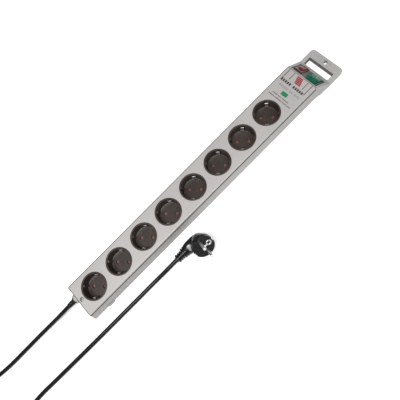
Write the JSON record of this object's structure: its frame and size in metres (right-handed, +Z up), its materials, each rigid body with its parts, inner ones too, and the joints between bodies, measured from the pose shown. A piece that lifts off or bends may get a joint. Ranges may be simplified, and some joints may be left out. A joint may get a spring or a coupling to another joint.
{
  "type": "power strip",
  "caption": "Long power strip with a row of recessed earthed sockets under one cover, a rocker switch and a pilot lamp on a sloped end, a carrying handle and a corded side-entry plug.",
  "frame": {"origin": "centre of the footprint of the strip without its cord and plug, on the surface its feet stand on", "axes": "+X along the strip from the cord's end to the switch, handle end; +Z up out of the socket face; +Y to the pilot lamp's side"},
  "size_m": [0.8811, 0.1315, 0.0481],
  "materials": {
    "silver_cover": "fine silver-grey speckle, satin",
    "grey_housing": "fine-grained satin",
    "black_insert": "semi-gloss moulded",
    "brown_shutter": "satin",
    "plated_contact": "nickel-plated, bright",
    "steel_screw": "zinc-plated",
    "brass_bar": "rolled",
    "circuit_board": "lacquered laminate",
    "blue_epoxy": "dipped epoxy",
    "white_ceramic": "matt ceramic",
    "green_rocker": "translucent, polished",
    "red_lens": "translucent, polished",
    "black_rubber": "smooth vinyl, slightly glossy",
    "black_strap": "woven hook-and-loop strap",
    "cream_clamp": "natural nylon",
    "brown_lead": "vinyl insulation",
    "blue_lead": "vinyl insulation"
  },
  "bodies": {
    "strip": {"lower_housing": "grey_housing", "foot_1": "black_rubber", "foot_2": "black_rubber", "foot_3": "black_rubber", "foot_4": "black_rubber", "front_cover": "silver_cover", "face_screw": "steel_screw", "base_screw_1": "steel_screw", "base_screw_2": "steel_screw", "base_screw_3": "steel_screw", "base_screw_4": "steel_screw", "socket_insert_1": "black_insert", "socket_insert_2": "black_insert", "socket_insert_3": "black_insert", "socket_insert_4": "black_insert", "socket_insert_5": "black_insert", "socket_insert_6": "black_insert", "socket_insert_7": "black_insert", "socket_insert_8": "black_insert", "earth_clip_1": "plated_contact", "earth_clip_2": "plated_contact", "earth_clip_3": "plated_contact", "earth_clip_4": "plated_contact", "earth_clip_5": "plated_contact", "earth_clip_6": "plated_contact", "earth_clip_7": "plated_contact", "earth_clip_8": "plated_contact", "live_busbar": "brass_bar", "neutral_busbar": "brass_bar", "earth_busbar": "brass_bar", "surge_board": "circuit_board", "varistor_1": "blue_epoxy", "varistor_2": "blue_epoxy", "varistor_3": "blue_epoxy", "thermal_fuse": "white_ceramic", "switch_body": "black_insert", "lamp_body": "black_insert", "lamp_lens": "red_lens", "cord_gland": "black_rubber", "cord_clamp": "cream_clamp", "live_lead": "brown_lead", "neutral_lead": "blue_lead", "cord_strip_run": "black_rubber", "cord_plug_run": "black_rubber", "cord_coil": "black_rubber", "cord_tie": "black_strap", "plug_body": "black_insert", "plug_pin_1": "plated_contact", "plug_pin_2": "plated_contact", "plug_earth_front": "plated_contact", "plug_earth_rear": "plated_contact"},
    "rocker": {"rocker": "green_rocker"},
    "shutter_1": {"shutter_1": "brown_shutter"},
    "shutter_2": {"shutter_2": "brown_shutter"},
    "shutter_3": {"shutter_3": "brown_shutter"},
    "shutter_4": {"shutter_4": "brown_shutter"},
    "shutter_5": {"shutter_5": "brown_shutter"},
    "shutter_6": {"shutter_6": "brown_shutter"},
    "shutter_7": {"shutter_7": "brown_shutter"},
    "shutter_8": {"shutter_8": "brown_shutter"}
  },
  "joints": [
    {"name": "rocker_tilt", "type": "hinge", "parent": "strip", "child": "rocker", "pos_m": [0.2368, -0.01175, 0.02192], "axis": [0, -1, 0], "range_deg": [0, 18]},
    {"name": "shutter_1_turn", "type": "hinge", "parent": "strip", "child": "shutter_1", "pos_m": [-0.2396, 0, 0.0182], "axis": [0, 0, 1], "range_deg": [0, 36], "stiffness_Nm_per_rad": 0.0008, "springref_deg": -5.73},
    {"name": "shutter_2_turn", "type": "hinge", "parent": "strip", "child": "shutter_2", "pos_m": [-0.18485, 0, 0.0182], "axis": [0, 0, 1], "range_deg": [0, 36], "stiffness_Nm_per_rad": 0.0008, "springref_deg": -5.73},
    {"name": "shutter_3_turn", "type": "hinge", "parent": "strip", "child": "shutter_3", "pos_m": [-0.1301, 0, 0.0182], "axis": [0, 0, 1], "range_deg": [0, 36], "stiffness_Nm_per_rad": 0.0008, "springref_deg": -5.73},
    {"name": "shutter_4_turn", "type": "hinge", "parent": "strip", "child": "shutter_4", "pos_m": [-0.07535, 0, 0.0182], "axis": [0, 0, 1], "range_deg": [0, 36], "stiffness_Nm_per_rad": 0.0008, "springref_deg": -5.73},
    {"name": "shutter_5_turn", "type": "hinge", "parent": "strip", "child": "shutter_5", "pos_m": [-0.0206, 0, 0.0182], "axis": [0, 0, 1], "range_deg": [0, 36], "stiffness_Nm_per_rad": 0.0008, "springref_deg": -5.73},
    {"name": "shutter_6_turn", "type": "hinge", "parent": "strip", "child": "shutter_6", "pos_m": [0.03415, 0, 0.0182], "axis": [0, 0, 1], "range_deg": [0, 36], "stiffness_Nm_per_rad": 0.0008, "springref_deg": -5.73},
    {"name": "shutter_7_turn", "type": "hinge", "parent": "strip", "child": "shutter_7", "pos_m": [0.0889, 0, 0.0182], "axis": [0, 0, 1], "range_deg": [0, 36], "stiffness_Nm_per_rad": 0.0008, "springref_deg": -5.73},
    {"name": "shutter_8_turn", "type": "hinge", "parent": "strip", "child": "shutter_8", "pos_m": [0.14365, 0, 0.0182], "axis": [0, 0, 1], "range_deg": [0, 36], "stiffness_Nm_per_rad": 0.0008, "springref_deg": -5.73}
  ]
}
